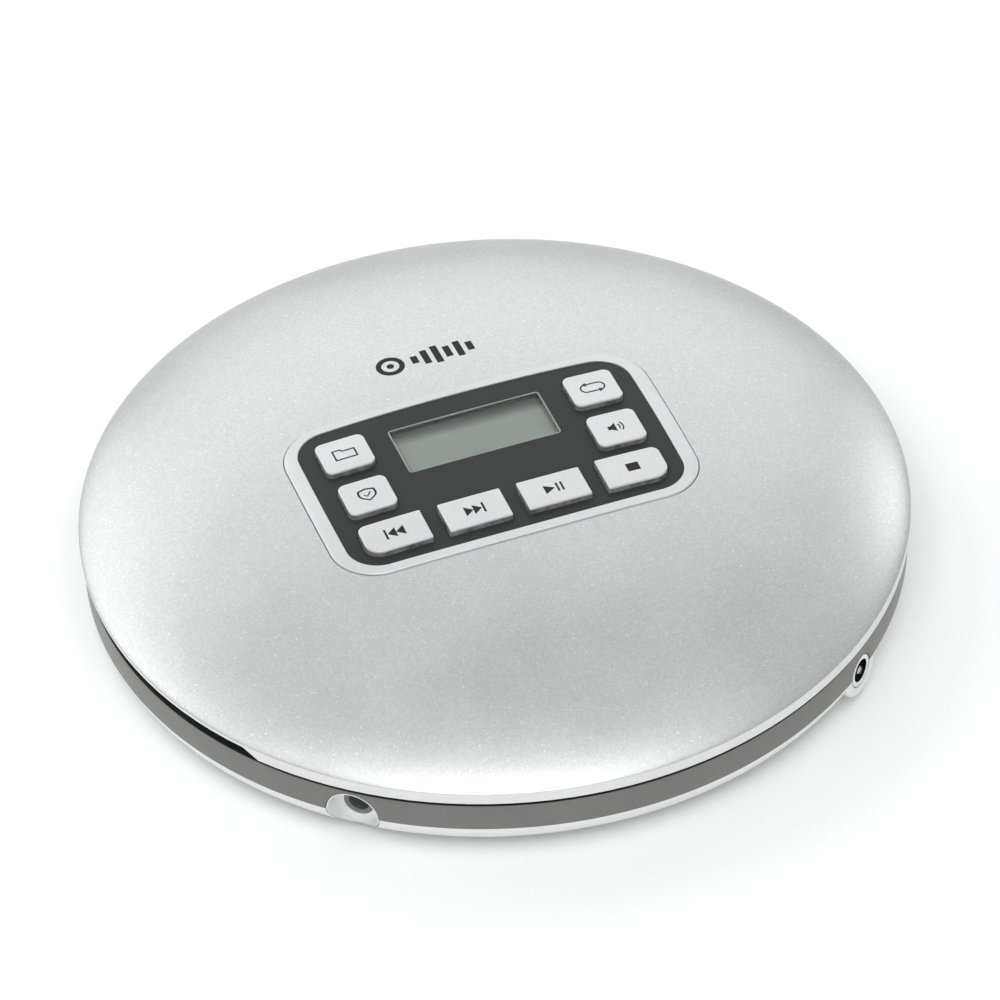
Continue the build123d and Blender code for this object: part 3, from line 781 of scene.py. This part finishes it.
def build_lid_emblem():
    # A plain disc-and-bars pictogram.
    dot = arc_points((0, 0), 0.65, 0, 360, 24)[:-1]
    shapes = [shifted(shape, -6.4, 0.0) for shape in (ring_shape(2.5, 0.95), dot)]
    heights = [2.0, 3.8, 4.8, 3.0, 4.2, 2.4]
    for number, height in enumerate(heights):
        x0 = -2.6 + number * 2.0
        shapes.append(bar(x0, x0 + 1.2, -height / 2, height / 2))
    return print_mark("lid_emblem", shapes, (-0.8, 30.6), 0.0, "lid", "lid_paint")


# ---- Case ----

def cut_jack_holes(made):
    for angle, radius in ((-JACK_ANGLE, CUP_HOLE_R), (JACK_ANGLE, POWER_HOLE_R)):
        cut(made, side_lathe("carving", angle, JACK_Z, [(radius, 60), (radius, 75)]))


def cut_round_hole(made, place, radius, z0, z1, count=SEGMENTS):
    cut(made, lathe("carving", [(radius, z0), (radius, z1)], centre=place, count=count, closed=False))


def build_band():
    # The grey band, stepped back at its top into a groove under the lid; the groove is dark from its own
    # shadow and from painted shade in the band's colour.
    step_r, step_z = BAND_R - GAP_DEPTH, BAND_TOP - GAP_HEIGHT
    profile = softened([(66.6, BAND_BOTTOM), (BAND_R, BAND_BOTTOM), (BAND_R, step_z), (step_r, step_z),
                        (step_r, BAND_TOP), (66.6, BAND_TOP)], 0.15)
    made = lathe("grey_band", profile)
    cut(made, cutter_block(60, 75, -HINGE_HALF_WIDTH, HINGE_HALF_WIDTH, 0, 20))
    cut_jack_holes(made)
    low, high = node_box("volume_wheel")
    wheel_place = ((low[0] + high[0]) / 2, (low[1] + high[1]) / 2)
    cut_round_hole(made, wheel_place, 7.4, low[2] - 0.3, high[2] + 0.3)
    return place_piece(made, "case", BAND, "band_plastic", "mid_band")


def base_side(steps=14):
    # The base's curved outer side, from the floor's edge up to the band, as one smooth curve.
    knots = [Vector(k) for k in ((61.0, FLOOR), (64.9, 1.15), (67.3, 2.4), (68.7, 4.3), (69.3, BAND_BOTTOM))]
    tangents = [(after - before) * 0.5 for before, after in zip(knots, knots[2:])]
    tangents = [Vector((3.0, 0.0))] + tangents + [Vector((0.02, 2.4))]
    line = []
    for p, q, leave, arrive in zip(knots, knots[1:], tangents, tangents[1:]):
        for step in range(steps):
            t = step / steps
            ease = 3 * t**2 - 2 * t**3
            pull = leave * (t**3 - 2 * t**2 + t) + arrive * (t**3 - t**2)
            line.append(tuple(p * (1 - ease) + q * ease + pull))
    return line + [tuple(knots[-1])]


def grooved(line, height, width=0.24, depth=0.12):
    # The same outline with a fine moulded line pressed into it at one height.
    after = next(i for i, (_, z) in enumerate(line) if z > height)
    start, end = Vector(line[after - 1]), Vector(line[after])
    middle = start.lerp(end, (height - start.y) / (end.y - start.y))
    along = (end - start).normalized()
    inward = Vector((-along.y, along.x))
    groove = [middle + along * width * step + inward * sink
              for step, sink in ((-0.5, 0.0), (-0.2, depth), (0.2, depth), (0.5, 0.0))]
    below = [p for p in line[:after] if (Vector(p) - middle).length > width * 0.7]
    above = [p for p in line[after:] if (Vector(p) - middle).length > width * 0.7]
    return below + [tuple(p) for p in groove] + above


def build_base():
    # The silver-white base, with the power socket's boss, the holes for the feet and screws and the
    # battery's opening.
    outer = grooved(base_side(), 2.05)
    inner = [(67.4, BAND_BOTTOM), (66.2, 3.6), (61.0, 2.4), (0.01, 2.4), (0.01, FLOOR)]
    made = lathe("base_moulding", outer + inner, closed=True)
    boss_profile = [(POWER_BOSS_R, 66.1), (POWER_BOSS_R, 69.0), (POWER_BOSS_R - 0.3, 69.4)]
    boss = side_lathe("boss", JACK_ANGLE, JACK_Z, boss_profile)
    cut(boss, cutter_block(0, 80, -80, 0, BAND_BOTTOM, 20))
    cut(boss, cutter_block(0, 80, -80, 0, -5, 1.6))
    cut(made, boss, "UNION")
    cut_jack_holes(made)
    low, high = node_box("battery_cover")
    cut(made, cutter_block(low[0] - 0.1, high[0] + 0.1, low[1] - 0.1, high[1] + 0.1, -1, 1.65))
    for angle in FOOT_ANGLES:
        cut_round_hole(made, spot(FOOT_RADIUS, angle), 4.6, -1, 1.4, 64)
    for angle in SCREW_ANGLES:
        cut_round_hole(made, spot(SCREW_RADIUS, angle), 2.4, -1, 2.3, 48)
    return place_piece(made, "case", BASE, "pale_plastic", "base_shell")


CAD_FINISHES = {
    "battery_cover": BASE, "battery_pack": WRAP, "deck_plate": DECK, "hinge_pin": STEEL,
    "case_screws": BLACK_STEEL, "rubber_feet": RUBBER, "volume_wheel": BLACK, "volume_control": BLACK,
    "main_board": BOARD, "power_board": BOARD, "board_chips": CHIP, "headphone_jack": SOCKET_GREY,
    "headphone_collar": BASE, "power_jack": BLACK, "power_jack_sleeve": CHROME, "power_jack_pin": CHROME,
    "drive_chassis": PLATED, "drive_dampers": RUBBER, "spindle_motor": STEEL, "spindle_shaft": STEEL,
    "disc_hub": BLACK, "hub_balls": STEEL, "guide_rods": STEEL, "sled_motor": STEEL, "lead_screw": BRASS,
    "pickup_sled": BLACK, "lens_holder": BLACK, "objective_lens": LENS, "lid_switch": BLACK,
    "lid_switch_plunger": WHITE, "lid_liner": STRIP, "lid_hook": BLACK, "lid_screws": BLACK_STEEL,
    "lcd_window": WINDOW, "lcd_module": DISPLAY, "keypad_board": BOARD, "keypad_membrane": SILICONE,
}


def finish_cad_nodes():
    for name, material in CAD_FINISHES.items():
        dress(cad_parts[name], material)


# ---- Stage, light and camera ----

def build_stage():
    reach = 3000
    corners = [(-reach, -reach, 0), (reach, -reach, 0), (reach, reach, 0), (-reach, reach, 0)]
    floor = piece("floor", corners, [(0, 1, 2, 3)])
    dress(floor, surface("floor_pale", grey(0.92), grey(0.94), (0.7, 0.8), patch=2.0, bump=0.0))
    floor.location.z = -0.0001


def soft_light(name, power, size, azimuth, elevation):
    # A soft box aimed at the player; the azimuth counts from the front towards +X.
    data = bpy.data.lights.new(name, "AREA")
    data.shape = "RECTANGLE"
    data.size, data.size_y = size
    data.energy = power
    made = bpy.data.objects.new(name, data)
    turn, rise = math.radians(azimuth), math.radians(elevation)
    out = Vector((math.sin(turn) * math.cos(rise), -math.cos(turn) * math.cos(rise), math.sin(rise)))
    made.location = Vector((0, 0, 0.015)) + out * 1.3
    made.rotation_mode = "QUATERNION"
    made.rotation_quaternion = (-out).to_track_quat("-Z", "Y")
    bpy.context.scene.collection.objects.link(made)


def build_lights():
    world = bpy.data.worlds.new("studio")
    world.use_nodes = True
    world.node_tree.nodes["Background"].inputs["Color"].default_value = (0.985, 0.995, 1.0, 1)
    world.node_tree.nodes["Background"].inputs["Strength"].default_value = 0.51
    bpy.context.scene.world = world
    soft_light("rear_box", 2.3, (0.95, 0.80), 161, 28)
    soft_light("rear_left_box", 3.9, (1.15, 0.75), -146, 30)
    soft_light("right_box", 1.2, (0.34, 0.26), 120, 26)
    soft_light("overhead_box", 5.5, (1.15, 0.70), -19, 73)
    soft_light("front_box", 4.6, (0.95, 0.60), -19, 46)
    soft_light("left_box", 1.5, (0.95, 0.60), -109, 46)


def build_camera():
    azimuth, elevation, roll = math.radians(-18.644), math.radians(41.734), math.radians(-2.628)
    distance = 1.1385
    target = Vector((2.019, 2.796, SPLIT)) * MM
    back = Vector((math.sin(azimuth) * math.cos(elevation), -math.cos(azimuth) * math.cos(elevation),
                   math.sin(elevation)))
    right = Vector((math.cos(azimuth), math.sin(azimuth), 0))
    up = right.cross(-back)
    turned_right = right * math.cos(roll) + up * math.sin(roll)
    turned_up = up * math.cos(roll) - right * math.sin(roll)
    data = bpy.data.cameras.new("camera")
    data.sensor_width = 36.0
    data.lens = 242.8
    data.clip_start, data.clip_end = 0.05, 20.0
    camera = bpy.data.objects.new("camera", data)
    camera.matrix_world = Matrix.Translation(target + back * distance) @ Matrix(
        (turned_right, turned_up, back)).transposed().to_4x4()
    bpy.context.scene.collection.objects.link(camera)
    bpy.context.scene.camera = camera


build_camera()
build_lights()
build_stage()
finish_cad_nodes()
build_lid_shell()
build_bezel()
build_panel()
build_window_frame()
for key_name in KEY_CORNERS:
    build_key(key_name)
    build_key_sign(key_name)
build_lid_emblem()
build_band()
build_base()
bpy.context.scene.view_settings.view_transform = "Standard"
